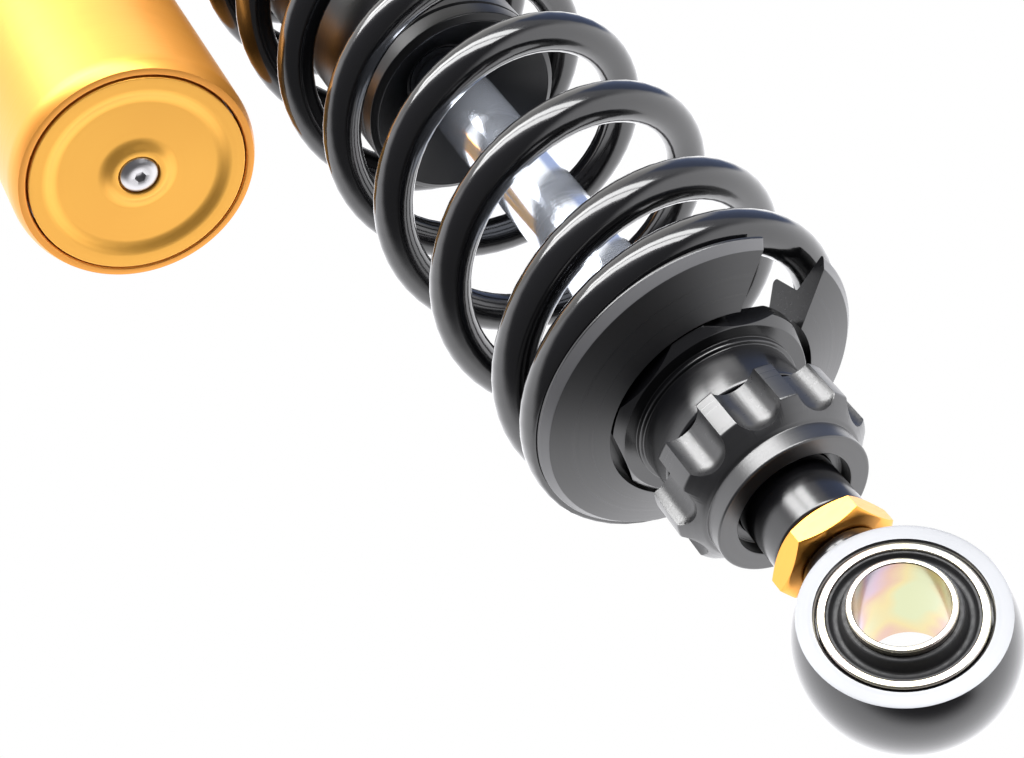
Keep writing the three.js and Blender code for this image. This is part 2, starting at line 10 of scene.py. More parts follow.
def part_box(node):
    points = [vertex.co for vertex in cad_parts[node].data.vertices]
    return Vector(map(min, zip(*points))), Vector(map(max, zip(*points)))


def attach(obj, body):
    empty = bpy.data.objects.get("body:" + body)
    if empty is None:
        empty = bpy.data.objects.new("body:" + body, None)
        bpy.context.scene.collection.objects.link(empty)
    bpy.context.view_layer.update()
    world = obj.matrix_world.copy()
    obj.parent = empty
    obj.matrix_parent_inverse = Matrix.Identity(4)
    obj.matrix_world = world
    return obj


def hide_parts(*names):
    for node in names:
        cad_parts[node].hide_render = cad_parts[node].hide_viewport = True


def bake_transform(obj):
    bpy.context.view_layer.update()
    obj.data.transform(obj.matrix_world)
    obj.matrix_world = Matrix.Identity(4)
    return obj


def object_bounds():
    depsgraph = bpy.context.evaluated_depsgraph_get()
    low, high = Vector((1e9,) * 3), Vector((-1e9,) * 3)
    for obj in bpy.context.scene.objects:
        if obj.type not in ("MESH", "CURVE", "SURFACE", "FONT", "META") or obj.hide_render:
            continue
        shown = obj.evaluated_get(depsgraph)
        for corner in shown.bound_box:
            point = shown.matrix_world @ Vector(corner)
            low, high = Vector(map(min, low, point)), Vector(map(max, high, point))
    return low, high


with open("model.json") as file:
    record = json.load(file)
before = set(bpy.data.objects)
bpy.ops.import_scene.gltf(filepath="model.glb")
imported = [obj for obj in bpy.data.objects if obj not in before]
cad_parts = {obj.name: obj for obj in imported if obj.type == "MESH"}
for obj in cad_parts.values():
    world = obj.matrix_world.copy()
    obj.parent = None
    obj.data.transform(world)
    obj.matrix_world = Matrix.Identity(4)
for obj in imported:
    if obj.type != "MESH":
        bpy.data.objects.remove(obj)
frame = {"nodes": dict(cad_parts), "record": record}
cad_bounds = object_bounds()

MM = 0.001
TAU = 2 * math.pi
scene = bpy.context.scene


# ------------------------------------------------------------------ places, read from the frame

def low(node):
    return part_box(node)[0].z


def high(node):
    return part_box(node)[1].z


def centre(node):
    lowest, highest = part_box(node)
    return (lowest + highest) / 2


def radius(node):
    lowest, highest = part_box(node)
    return (highest.x - lowest.x) / 2


LOWER_EYE = centre("lower_bush_sleeve")
UPPER_EYE = centre("upper_bush_sleeve")
RESERVOIR = Vector((centre("reservoir_cap").x, 0, 0))
BALL_R = radius("lower_eye")
EYE_HALF_WIDTH = 6.04 * MM
EYE_BORE_R = 10.75 * MM
ROUNDED_OFF = 0.985  # how near the ball's curve runs to the edge of a flat face
BORE_R = 6.0 * MM
THREAD_PITCH = 1.5 * MM


# ------------------------------------------------------------------ materials

class Paint:
    """A node material: its shader, and short calls that add and link nodes."""

    def __init__(self, name, color, roughness, metallic=0.0):
        self.material = bpy.data.materials.new(name)
        self.material.use_nodes = True
        self.tree = self.material.node_tree
        self.shader = self.tree.nodes["Principled BSDF"]
        self.shader.inputs["Base Color"].default_value = (*color, 1)
        self.shader.inputs["Roughness"].default_value = roughness
        self.shader.inputs["Metallic"].default_value = metallic

    def node(self, kind, **values):
        made = self.tree.nodes.new(kind)
        for key, value in values.items():
            if hasattr(made, key):
                setattr(made, key, value)
            else:
                made.inputs[key.replace("_", " ")].default_value = value
        return made

    def link(self, source, target):
        self.tree.links.new(source, target)

    def place(self):
        return self.node("ShaderNodeTexCoord").outputs["Object"]

    def round_place(self, axis, at):
        """(distance from the axis, height along it, 0), for marks that run round a turned piece."""
        split = self.node("ShaderNodeSeparateXYZ")
        moved = self.node("ShaderNodeVectorMath", operation="SUBTRACT")
        self.link(self.place(), moved.inputs[0])
        moved.inputs[1].default_value = at
        self.link(moved.outputs[0], split.inputs[0])
        flat = self.node("ShaderNodeCombineXYZ")
        self.link(split.outputs["X"], flat.inputs["X"])
        self.link(split.outputs["Y" if axis == "Z" else "Z"], flat.inputs["Y"])
        length = self.node("ShaderNodeVectorMath", operation="LENGTH")
        self.link(flat.outputs[0], length.inputs[0])
        joined = self.node("ShaderNodeCombineXYZ")
        self.link(length.outputs["Value"], joined.inputs["X"])
        self.link(split.outputs[axis], joined.inputs["Y"])
        return joined.outputs[0]

    def noise(self, vector, scale, detail=3.0):
        made = self.node("ShaderNodeTexNoise", Scale=scale, Detail=detail)
        self.link(vector, made.inputs["Vector"])
        return made.outputs["Fac"]

    def spread(self, value, low_value, high_value):
        made = self.node("ShaderNodeMapRange")
        made.inputs["From Min"].default_value = 0.3
        made.inputs["From Max"].default_value = 0.7
        made.inputs["To Min"].default_value = low_value
        made.inputs["To Max"].default_value = high_value
        self.link(value, made.inputs["Value"])
        return made.outputs["Result"]

    def vary_roughness(self, value, low_value, high_value):
        self.link(self.spread(value, low_value, high_value), self.shader.inputs["Roughness"])

    def ramp(self, value, stops):
        made = self.node("ShaderNodeValToRGB")
        ramp = made.color_ramp
        while len(ramp.elements) < len(stops):
            ramp.elements.new(0.5)
        for element, (position, color) in zip(ramp.elements, stops):
            element.position = position
            element.color = (*color, 1)
        self.link(value, made.inputs["Fac"])
        return made.outputs["Color"]

    def paint(self, color_output):
        self.link(color_output, self.shader.inputs["Base Color"])

    def bump(self, value, height, strength=1.0):
        made = self.node("ShaderNodeBump", Strength=strength)
        made.inputs["Distance"].default_value = height
        self.link(value, made.inputs["Height"])
        self.link(made.outputs["Normal"], self.shader.inputs["Normal"])


def powder_coat(name, roughness, peel_scale, peel_height):
    """Gloss black coating with a faint orange peel."""
    paint = Paint(name, (0.006, 0.006, 0.007), roughness)
    paint.shader.inputs["Coat Weight"].default_value = 0.6
    paint.shader.inputs["Coat Roughness"].default_value = 0.05
    grain = paint.noise(paint.place(), peel_scale, 2.0)
    paint.vary_roughness(paint.noise(paint.place(), 60.0), roughness * 0.8, roughness * 1.3)
    paint.bump(grain, peel_height, 0.25)
    return paint.material


def turned_metal(name, color, roughness, at=(0, 0, 0), axis="Z", line_height=6e-7, tint=0.06,
                 metallic=1.0, specular=0.5):
    """Machined or anodised metal: fine marks run round the axis, and the tone drifts a little."""
    paint = Paint(name, color, roughness, metallic)
    paint.shader.inputs["Specular IOR Level"].default_value = specular
    around = paint.round_place(axis, at)
    lines = paint.noise(around, 2600.0, 1.5)
    drift = paint.noise(paint.place(), 45.0, 2.0)
    dark = tuple(c * (1 - tint) for c in color)
    light = tuple(min(c * (1 + tint), 1.0) for c in color)
    paint.paint(paint.ramp(drift, [(0.3, dark), (0.7, light)]))
    paint.vary_roughness(lines, roughness * 0.9, roughness * 1.12)
    paint.bump(lines, line_height, 0.3)
    return paint.material


def satin_gold(name, color):
    """Gold anodising of the reservoir: half metal, so that its own colour fills the dark reflections."""
    return turned_metal(name, color, 0.4, at=RESERVOIR, line_height=3e-7, tint=0.03, metallic=0.6)


def zinc(name, stops, roughness):
    """Passivated zinc: pale metal with drifting patches of interference colour."""
    paint = Paint(name, (0.6, 0.55, 0.4), roughness, 1.0)
    patches = paint.noise(paint.place(), 90.0, 1.5)
    paint.paint(paint.ramp(patches, stops))
    lines = paint.noise(paint.round_place("Y", (0, 0, LOWER_EYE.z)), 2200.0, 1.5)
    paint.vary_roughness(lines, roughness * 0.85, roughness * 1.2)
    paint.bump(lines, 6e-7, 0.3)
    return paint.material


def rubber(name):
    paint = Paint(name, (0.012, 0.012, 0.013), 0.5)
    speckle = paint.noise(paint.place(), 1400.0, 3.0)
    paint.vary_roughness(speckle, 0.42, 0.62)
    paint.bump(speckle, 1.2e-5, 0.4)
    return paint.material


def chrome(name):
    paint = Paint(name, (0.82, 0.87, 0.97), 0.12, 0.85)
    lines = paint.noise(paint.round_place("Z", (0, 0, 0)), 3000.0, 2.0)
    paint.vary_roughness(lines, 0.10, 0.15)
    return paint.material


SPRING_COAT = powder_coat("spring_coat", 0.16, 700.0, 8e-6)
BLACK_PAINT = powder_coat("black_paint", 0.2, 420.0, 1.5e-5)
CAST_PAINT = powder_coat("cast_paint", 0.3, 900.0, 4e-5)
BLACK_ANODISED = turned_metal("black_anodised", (0.006, 0.006, 0.007), 0.3, metallic=0.0, specular=0.8)
POLISHED_BLACK = turned_metal("polished_black", (0.005, 0.005, 0.006), 0.2, metallic=0.0, specular=0.8)
KNOB_GREY = turned_metal("grey_anodised", (0.014, 0.014, 0.015), 0.3, metallic=0.0, specular=1.0)
GOLD_NUT = turned_metal("gold_nut", (0.84, 0.38, 0.07), 0.34)
# two copies of one gold anodising: the body's colour is darkened as painted shade against the strong light
# on it, and the cap's is lightened as painted light
GOLD_BODY_PAINTED_SHADE = satin_gold("gold_body_painted_shade", (0.88, 0.37, 0.06))
GOLD_CAP_PAINTED_LIGHT = satin_gold("gold_cap_painted_light", (1.0, 0.50, 0.08))
EYE_FACE = turned_metal("eye_face", (0.27, 0.275, 0.29), 0.4, at=LOWER_EYE, axis="Y", line_height=1.5e-6,
                        metallic=0.12)
# lighter grey for the lower seat's bevel ring: a painted highlight for the bright band the bevel shows
BEVEL_HIGHLIGHT_GREY = turned_metal("seat_bevel_painted_highlight", (0.12, 0.12, 0.125), 0.35, metallic=0.0, specular=0.8)
TUBE_BLACK = turned_metal("tube_black", (0.005, 0.005, 0.006), 0.34, metallic=0.0, specular=0.4)
STEEL = turned_metal("machined_steel", (0.5, 0.5, 0.52), 0.28)
BRIGHT_STEEL = turned_metal("bright_steel", (0.55, 0.54, 0.55), 0.3, at=RESERVOIR)
ALUMINIUM = turned_metal("plain_aluminium", (0.7, 0.7, 0.72), 0.3)
BRONZE = turned_metal("bronze", (0.5, 0.33, 0.16), 0.4)
CHROME = chrome("chrome_rod")
ZINC = zinc("zinc_plate", [
    (0.30, (0.50, 0.48, 0.42)), (0.45, (0.56, 0.52, 0.40)),
    (0.58, (0.52, 0.45, 0.42)), (0.72, (0.48, 0.50, 0.44)),
], 0.24)
ZINC_BORE = zinc("zinc_bore", [
    (0.34, (0.43, 0.45, 0.28)), (0.43, (0.50, 0.42, 0.22)), (0.50, (0.47, 0.32, 0.25)),
    (0.56, (0.43, 0.32, 0.37)), (0.62, (0.36, 0.38, 0.44)), (0.70, (0.39, 0.46, 0.29)),
], 0.16)
RUBBER = rubber("bush_rubber")

FINISH_OF_SLOT = {
    "spring_coat": SPRING_COAT, "black_paint": BLACK_PAINT, "black_anodised": BLACK_ANODISED,
    "grey_anodised": KNOB_GREY, "gold_anodised": GOLD_BODY_PAINTED_SHADE, "chrome_rod": CHROME,
    "machined_steel": STEEL, "plain_aluminium": ALUMINIUM, "zinc_plate": ZINC,
    "bronze_bush": BRONZE, "bush_rubber": RUBBER,
}
SLOT_OF_NODE = {part["node"]: part["material_slot"] for part in frame["record"]["subparts"]}
BODY_OF_NODE = {
    node: body for body, nodes in frame["record"]["behaviour"]["bodies"].items() for node in nodes
}
for node_name, cad_object in frame["nodes"].items():
    cad_object.data.materials.clear()
    cad_object.data.materials.append(FINISH_OF_SLOT[SLOT_OF_NODE[node_name]])


# ------------------------------------------------------------------ mesh building

def rounded(points, steps=4):
    """A closed outline with its corners rounded. A point is (radius, height) or (radius, height, corner)."""
    made = []
    count = len(points)
    for i, point in enumerate(points):
        here = Vector(point[:2])
        corner = point[2] if len(point) > 2 else 0
        back = Vector(points[i - 1][:2]) - here
        ahead = Vector(points[(i + 1) % count][:2]) - here
        reach = min(corner, back.length * 0.45, ahead.length * 0.45)
        if reach <= 0:
            made.append(tuple(here))
            continue
        start = here + back.normalized() * reach
        end = here + ahead.normalized() * reach
        for step in range(steps + 1):
            t = step / steps
            made.append(tuple(start * (1 - t) ** 2 + here * 2 * t * (1 - t) + end * t ** 2))
    return made


def mesh_object(name, vertices, faces, materials, face_materials=None):
    mesh = bpy.data.meshes.new(name)
    mesh.from_pydata(vertices, [], faces)
    for material in materials:
        mesh.materials.append(material)
    if face_materials:
        mesh.polygons.foreach_set("material_index", face_materials)
    mesh.update()
    made = bpy.data.objects.new(name, mesh)
    scene.collection.objects.link(made)
    return made


def smooth(piece, angle=35.0):
    piece.data.shade_smooth()
    piece.data.set_sharp_from_angle(angle=math.radians(angle))
    weighted = piece.modifiers.new("weighted_normals", "WEIGHTED_NORMAL")
    weighted.keep_sharp = True
    weighted.weight = 80
    return piece


def lathe(name, outline, materials, axis="Z", at=(0, 0, 0), segments=160, second=None):
    """A turned piece from a closed outline of (radius, height), in metres, listed anticlockwise.
    A face whose outline edge satisfies second(radius, height) takes the second material."""
    at = Vector(at)
    vertices = []
    for i in range(segments):
        angle = TAU * i / segments
        for r, h in outline:
            x, y = r * math.cos(angle), r * math.sin(angle)
            vertices.append(at + (Vector((x, y, h)) if axis == "Z" else Vector((x, h, -y))))
    count = len(outline)
    faces = []
    indices = []
    for i in range(segments):
        here, after = i * count, (i + 1) % segments * count
        for j in range(count):
            k = (j + 1) % count
            faces.append((here + j, after + j, after + k, here + k))
            middle = [(a + b) / 2 for a, b in zip(outline[j], outline[k])]
            indices.append(1 if second and second(*middle) else 0)
    return mesh_object(name, vertices, faces, materials, indices)


def applied(piece):
    """The piece with its modifiers turned into mesh."""
    graph = bpy.context.evaluated_depsgraph_get()
    mesh = bpy.data.meshes.new_from_object(piece.evaluated_get(graph))
    piece.modifiers.clear()
    piece.data = mesh
    return piece


def boolean(piece, others, operation="DIFFERENCE"):
    for other in others:
        modifier = piece.modifiers.new("cut", "BOOLEAN")
        modifier.operation = operation
        modifier.solver = "EXACT"
        modifier.object = other
        modifier.material_mode = "INDEX"
    bpy.context.view_layer.update()
    applied(piece)
    for other in others:
        bpy.data.objects.remove(other)
    return piece


def bevel(piece, width, segments=3, angle=30.0):
    modifier = piece.modifiers.new("edges", "BEVEL")
    modifier.width = width
    modifier.segments = segments
    modifier.limit_method = "ANGLE"
    modifier.angle_limit = math.radians(angle)
    modifier.miter_outer = "MITER_ARC"
    bpy.context.view_layer.update()
    return applied(piece)


def block(size, matrix):
    corners = [(x, y, z) for x in (-0.5, 0.5) for y in (-0.5, 0.5) for z in (-0.5, 0.5)]
    vertices = [matrix @ Vector([c * s for c, s in zip(corner, size)]) for corner in corners]
    faces = [(0, 1, 3, 2), (4, 6, 7, 5), (0, 4, 5, 1), (2, 3, 7, 6), (0, 2, 6, 4), (1, 5, 7, 3)]
    return mesh_object("block", vertices, faces, [])


def prism(sides, corner_r, bottom, top, turn=0.0, at=(0, 0, 0)):
    at = Vector(at)
    rings = []
    for height in (bottom, top):
        for i in range(sides):
            angle = turn + TAU * i / sides
            rings.append(at + Vector((corner_r * math.cos(angle), corner_r * math.sin(angle), height)))
    faces = [tuple(range(sides))[::-1], tuple(range(sides, 2 * sides))]
    faces += [(i, (i + 1) % sides, (i + 1) % sides + sides, i + sides) for i in range(sides)]
    return mesh_object("prism", rings, faces, [])


def capsule(r, bottom, top, at, turn):
    """A round-ended cutter along Z: the lower end a half sphere whose centre is at bottom."""
    segments, rings = 40, 10
    levels = []
    for k in range(1, rings + 1):
        angle = math.pi / 2 * k / rings
        levels.append((r * math.sin(angle), bottom - r * math.cos(angle)))
    levels.append((r, top))
    place = Vector((at * math.cos(turn), at * math.sin(turn), 0))
    vertices = []
    for level_r, height in levels:
        for i in range(segments):
            angle = TAU * i / segments
            vertices.append(place + Vector((level_r * math.cos(angle), level_r * math.sin(angle), height)))
    tip = len(vertices)
    vertices.append(place + Vector((0, 0, bottom - r)))
    faces = []
    for level in range(rings):
        here, above = level * segments, (level + 1) * segments
        for i in range(segments):
            j = (i + 1) % segments
            faces.append((here + i, here + j, above + j, above + i))
    faces += [(tip, (i + 1) % segments, i) for i in range(segments)]
    faces.append(tuple(rings * segments + i for i in range(segments)))
    return mesh_object("capsule", vertices, faces, [])


def show(piece, *nodes):
    """The piece stands for these CAD nodes, on their body."""
    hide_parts(*nodes)
    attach(piece, BODY_OF_NODE[nodes[0]])
    return piece


def turned_piece(name, outline, material, nodes, axis="Z", at=(0, 0, 0), segments=160):
    return show(smooth(lathe(name, rounded(outline), [material], axis, at, segments)), *nodes)


# ------------------------------------------------------------------ camera, floor and light

VIEW_RIGHT = Vector((0.87121, 0.22808, -0.43470))
VIEW_FORWARD = Vector((0.13921, 0.73438, 0.66431))
VIEW_UP = VIEW_RIGHT.cross(VIEW_FORWARD)
ROOM = (0.17, 0.17, 0.18)
PAPER = (1.9, 1.9, 1.95)
UPPER_WALL = (0.75, 0.76, 0.80)
COOL_WALL = (0.28, 0.36, 0.60)
COOL_WALL_AT = (0.80, -0.15, 0.58)
OVERHEAD = (1.3, 1.28, 1.25)
OVERHEAD_AT = (0, -0.35, 0.94)
STRIP_AT = (0.138, -0.936, 0.326)
STRIP_ALONG = (-0.72, 0.13, 0.68)


def make_camera():
    camera = bpy.data.objects.new("camera", bpy.data.cameras.new("camera"))
    scene.collection.objects.link(camera)
    camera.data.sensor_width = 36.0
    camera.data.lens = 61.67
    turn = Matrix((VIEW_RIGHT, VIEW_UP, -VIEW_FORWARD)).transposed()
    place = LOWER_EYE + Vector((-58.41, -193.98, -105.0)) * MM
    camera.matrix_world = Matrix.Translation(place) @ turn.to_4x4()
    camera.data.clip_start = 0.01
    camera.data.clip_end = 20
    scene.camera = camera


def strip_light(name, aim, toward, along, sideways, length, width, radiance):
    """A long soft light a metre from aim, shifted sideways, seen in reflections."""
    light = bpy.data.lights.new(name, "AREA")
    light.shape = "RECTANGLE"
    light.size, light.size_y = length, width
    light.energy = radiance * math.pi * length * width
    z_axis = Vector(toward).normalized()
    x_axis = Vector(along)
    x_axis = (x_axis - z_axis * x_axis.dot(z_axis)).normalized()
    y_axis = z_axis.cross(x_axis)
    made = bpy.data.objects.new(name, light)
    scene.collection.objects.link(made)
    turn = Matrix((x_axis, y_axis, z_axis)).transposed().to_4x4()
    made.matrix_world = Matrix.Translation(aim + z_axis + y_axis * sideways) @ turn


def make_world():
    """White paper behind and below the object, a dim room in front of it, a cool wall and a lamp above."""
    world = bpy.data.worlds.new("studio")
    scene.world = world
    world.use_nodes = True
    tree = world.node_tree
    tree.nodes.clear()

    def add(kind, **values):
        made = tree.nodes.new(kind)
        for key, value in values.items():
            setattr(made, key, value)
        return made

    direction = add("ShaderNodeTexCoord").outputs["Generated"]

    def along(axis, low_value, high_value):
        dot = add("ShaderNodeVectorMath", operation="DOT_PRODUCT")
        dot.inputs[1].default_value = axis
        tree.links.new(direction, dot.inputs[0])
        step = add("ShaderNodeMapRange", interpolation_type="SMOOTHSTEP")
        step.inputs["From Min"].default_value = low_value
        step.inputs["From Max"].default_value = high_value
        tree.links.new(dot.outputs["Value"], step.inputs["Value"])
        return step.outputs["Result"]

    def mix(factor, first, second):
        made = add("ShaderNodeMix", data_type="RGBA")
        tree.links.new(factor, made.inputs["Factor"])
        for value, socket in ((first, made.inputs[6]), (second, made.inputs[7])):
            if isinstance(value, tuple):
                socket.default_value = (*value, 1)
            else:
                tree.links.new(value, socket)
        return made.outputs[2]

    side_lamp = (VIEW_RIGHT * 0.97 - VIEW_FORWARD * 0.2).normalized()
    color = mix(along(VIEW_FORWARD, -0.38, 0.0), ROOM, PAPER)
    color = mix(along(side_lamp, 0.72, 0.92), color, PAPER)
    color = mix(along(VIEW_UP, 0.40, 0.75), color, UPPER_WALL)
    color = mix(along(COOL_WALL_AT, 0.86, 0.93), color, COOL_WALL)
    color = mix(along(OVERHEAD_AT, 0.76, 0.84), color, OVERHEAD)
    lit = add("ShaderNodeBackground")
    tree.links.new(color, lit.inputs["Color"])
    white = add("ShaderNodeBackground")
    white.inputs["Color"].default_value = (1, 1, 1, 1)
    chosen = add("ShaderNodeMixShader")
    tree.links.new(add("ShaderNodeLightPath").outputs["Is Camera Ray"], chosen.inputs[0])
    tree.links.new(lit.outputs[0], chosen.inputs[1])
    tree.links.new(white.outputs[0], chosen.inputs[2])
    tree.links.new(chosen.outputs[0], add("ShaderNodeOutputWorld").inputs["Surface"])


def make_surroundings():
    make_world()
    aim = Vector((0, 0, LOWER_EYE.z + 0.08))
    for name, sideways in (("strip_a", -0.14), ("strip_b", 0.14)):
        strip_light(name, aim, STRIP_AT, STRIP_ALONG, sideways, length=2.0, width=0.23, radiance=12.0)
    floor_z = cad_bounds[0].z - 0.12
    reach = 8.0
    corners = [(x * reach, y * reach, floor_z) for x, y in ((-1, -1), (1, -1), (1, 1), (-1, 1))]
    pale = Paint("floor", (0.85, 0.85, 0.85), 0.6).material
    floor = mesh_object("floor", corners, [(0, 1, 2, 3)], [pale])
    floor.visible_glossy = False
    floor.visible_diffuse = False
    scene.view_settings.view_transform = "Standard"
    scene.view_settings.look = "None"


make_camera()
make_surroundings()


# ------------------------------------------------------------------ eyes, bushes and nut

def both_sides(half):
    """A closed outline from its points on one side of an eye's middle plane."""
    other_half = [(r, -h, *corner) for r, h, *corner in half]
    return other_half + half[::-1]


def eye_outline():
    """Ball cut by two flat faces, with a bevel at the bore and at the rim of each face."""
    face_r = math.sqrt(BALL_R ** 2 - EYE_HALF_WIDTH ** 2)
    lip = 0.35 * MM
    arc_steps = 24
    widest = math.asin(EYE_HALF_WIDTH / BALL_R) * ROUNDED_OFF
    arc = []
    for i in range(arc_steps + 1):
        angle = -widest + 2 * widest * i / arc_steps
        arc.append((BALL_R * math.cos(angle), BALL_R * math.sin(angle)))
    return [
        (EYE_BORE_R, -EYE_HALF_WIDTH + lip), (EYE_BORE_R + lip, -EYE_HALF_WIDTH),
        (face_r - lip, -EYE_HALF_WIDTH), *arc, (face_r - lip, EYE_HALF_WIDTH),
        (EYE_BORE_R + lip, EYE_HALF_WIDTH), (EYE_BORE_R, EYE_HALF_WIDTH - lip),
    ]


def make_eye(name, at):
    """The flat faces are bare metal, apart from the lip round the bore, whose black paint is painted shade
    for the dark groove next to the bush shell.
    """
    shaded_lip_r = EYE_BORE_R + 0.45 * MM

    # faces on the lip round the bore keep the black paint: painted shade for the dark groove next to the
    # bush shell
    def is_bare_past_shaded_lip(r, h):
        return abs(h) > EYE_HALF_WIDTH * ROUNDED_OFF and r > shaded_lip_r

    return lathe(name, eye_outline(), [BLACK_PAINT, EYE_FACE], "Y", at, 192, second=is_bare_past_shaded_lip)


def make_lower_eye():
    eye = make_eye("lower_eye_ball", LOWER_EYE)
    boss_r = 5.9 * MM
    stem_r = 5.0 * MM
    core_r = 0.001 * MM
    boss_bottom = LOWER_EYE.z + 12 * MM
    boss_top = low("jam_nut") - 0.15 * MM
    eye_top = high("lower_eye")
    boss = lathe("boss", rounded([
        (core_r, boss_bottom), (boss_r, boss_bottom), (boss_r, boss_top, 0.4 * MM), (stem_r, boss_top),
        (stem_r, eye_top), (core_r, eye_top),
    ]), [BLACK_PAINT], segments=96)
    boolean(eye, [boss], "UNION")
    show(smooth(eye), "lower_eye")


def make_bush(prefix, at):
    """Outer shell, rubber with a hump round the sleeve and a hollow behind it, and the inner sleeve."""
    shell_in, shell_out = 9.45 * MM, 10.6 * MM
    shell_half = EYE_HALF_WIDTH + 0.05 * MM
    turned_piece(f"{prefix}_shell", both_sides([
        (shell_in, shell_half, 0.25 * MM), (shell_out, shell_half, 0.35 * MM),
    ]), ZINC, [f"{prefix}_bush_shell"], "Y", at)
    rubber_in, rubber_out = 6.86 * MM, 9.42 * MM
    hump_r, hollow_in, hollow_out, rim_r = (
        rubber_in + 0.6 * MM, rubber_in + 1.1 * MM, rubber_out - 0.7 * MM, rubber_out - 0.3 * MM)
    rim, hump, hollow = 5.75 * MM, 7.0 * MM, 5.0 * MM
    turned_piece(f"{prefix}_rubber", both_sides([
        (rubber_in, hump), (hump_r, hump, 0.4 * MM), (hollow_in, hollow, 0.4 * MM),
        (hollow_out, hollow, 0.4 * MM), (rim_r, rim, 0.2 * MM), (rubber_out, rim),
    ]), RUBBER, [f"{prefix}_bush_rubber"], "Y", at)
    sleeve = f"{prefix}_bush_sleeve"
    sleeve_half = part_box(sleeve)[1].y
    outline = rounded(both_sides([(BORE_R, sleeve_half, 0.2 * MM), (radius(sleeve), sleeve_half, 0.3 * MM)]))
    tube = lathe(f"{prefix}_sleeve", outline, [ZINC, ZINC_BORE], "Y", at, 160,
                 second=lambda r, h: r < BORE_R + 0.05 * MM)
    show(smooth(tube), sleeve)


def make_nut():
    bottom, top = low("jam_nut"), high("jam_nut")
    flats, thread_r = 15.4 * MM, 5.1 * MM
    nut = prism(6, flats / math.sqrt(3), bottom, top, math.radians(235.8))
    nut.name = "jam_nut_hexagon"
    nut.data.materials.append(GOLD_NUT)
    crown = 0.75 * MM
    corner_r = flats / math.sqrt(3) + 0.02 * MM
    face_r = flats / 2 - 0.15 * MM
    blank = lathe("blank", [
        (thread_r, bottom), (face_r, bottom), (corner_r, bottom + crown), (corner_r, top - crown),
        (face_r, top), (thread_r, top),
    ], [GOLD_NUT], segments=180)
    boolean(nut, [blank], "INTERSECT")
    bevel(nut, 0.12 * MM, 2)
    show(smooth(nut), "jam_nut")


make_lower_eye()
make_bush("lower", LOWER_EYE)
make_bush("upper", UPPER_EYE)
make_nut()


# ------------------------------------------------------------------ rod end and rebound knob

def make_rod_end():
    bottom, top = low("rod_end_housing"), high("rod_end_housing")
    neck_bottom = high("rebound_knob") + 0.4 * MM
    flange_bottom = top - 3.5 * MM
    ring_bottom = flange_bottom - 0.9 * MM
    chamfer_top = flange_bottom + 1.3 * MM
    thread_top = bottom + 18 * MM
    shank_r, neck_r, ring_r, flange_r = 7.4 * MM, 12.36 * MM, 13.0 * MM, radius("rod_end_housing")
    thread_r, rod_hole_r = 5.1 * MM, 6.3 * MM
    outline = [
        (thread_r, bottom), (shank_r, bottom, 0.5 * MM), (shank_r, neck_bottom),
        (neck_r, neck_bottom, 0.6 * MM), (neck_r, ring_bottom, 0.15 * MM),
        (ring_r, ring_bottom, 0.25 * MM), (ring_r, flange_bottom, 0.1 * MM),
        (flange_r - 1.2 * MM, flange_bottom, 0.1 * MM), (flange_r, chamfer_top, 0.15 * MM),
        (flange_r, top, 0.2 * MM), (rod_hole_r, top), (rod_hole_r, thread_top), (thread_r, thread_top),
    ]
    housing = lathe("rod_end", rounded(outline), [POLISHED_BLACK], segments=192)
    flat_r, reach = 15.1 * MM, 4 * MM
    flats = []
    for i in range(6):
        turn = Matrix.Rotation(math.radians(-4.5) + TAU * i / 6, 4, "Z")
        place = Matrix.Translation((flat_r + reach / 2, 0, top))
        flats.append(block((reach, 2 * flange_r, 9 * MM), turn @ place))
    boolean(housing, flats)
    bevel(housing, 0.12 * MM, 2, 25.0)
    show(smooth(housing), "rod_end_housing")


def make_rebound_knob():
    """Plain collar below, a cone up to the fluted band, and a recess round the shank."""
    bottom, top = low("rebound_knob"), high("rebound_knob")
    collar_top, shoulder, recess_top = bottom + 3.0 * MM, bottom + 5.7 * MM, bottom + 2.3 * MM
    knob_r, collar_r, recess_r, bore_r = 15.07 * MM, 11.95 * MM, 8.9 * MM, 7.55 * MM
    cone_start = (collar_r + 0.5 * MM, collar_top + 0.2 * MM, 0.2 * MM)
    outline = rounded([
        (recess_r, bottom, 0.2 * MM), (collar_r, bottom, 0.35 * MM), (collar_r, collar_top, 0.15 * MM),
        cone_start, (knob_r, shoulder, 0.25 * MM), (knob_r, top, 0.35 * MM), (bore_r, top),
        (bore_r, recess_top), (recess_r, recess_top),
    ], 3)
    knob = lathe("fluted_knob", outline, [KNOB_GREY], segments=240)
    flute_count, flute_r, flute_axis_r = 10, 3.6 * MM, 15.9 * MM
    flute_bottom = bottom + 6.2 * MM
    first_flute = math.radians(-90.5)
    flutes = []
    for i in range(flute_count):
        turn = first_flute + TAU * i / flute_count
        flutes.append(capsule(flute_r, flute_bottom, top + 2 * MM, flute_axis_r, turn))
    boolean(knob, flutes)
    bevel(knob, 0.09 * MM, 2, 40.0)
    show(smooth(knob), "rebound_knob")


make_rod_end()
make_rebound_knob()


# ------------------------------------------------------------------ spring, seats and preload rings

WIRE_R = 3.24 * MM
COIL_R = 23.9 * MM
COIL_PITCH = 22.4 * MM
CLOSED_PITCH = 6.7 * MM
CLOSED_TURNS = 0.9
RAMP_TURNS = 0.5
TOTAL_TURNS = 10.0
COIL_START = low("main_spring") + 0.2 * MM
COIL_START_ANGLE = math.radians(88.3)
RING_BORE_R = 19.15 * MM


def end_rise(turns):
    """Rise of the wire's centre from a closed end, with a smooth change to the active pitch."""
    ramp = max(turns - CLOSED_TURNS, 0.0)
    return CLOSED_PITCH * turns + (COIL_PITCH - CLOSED_PITCH) * ramp * ramp / (2 * RAMP_TURNS)


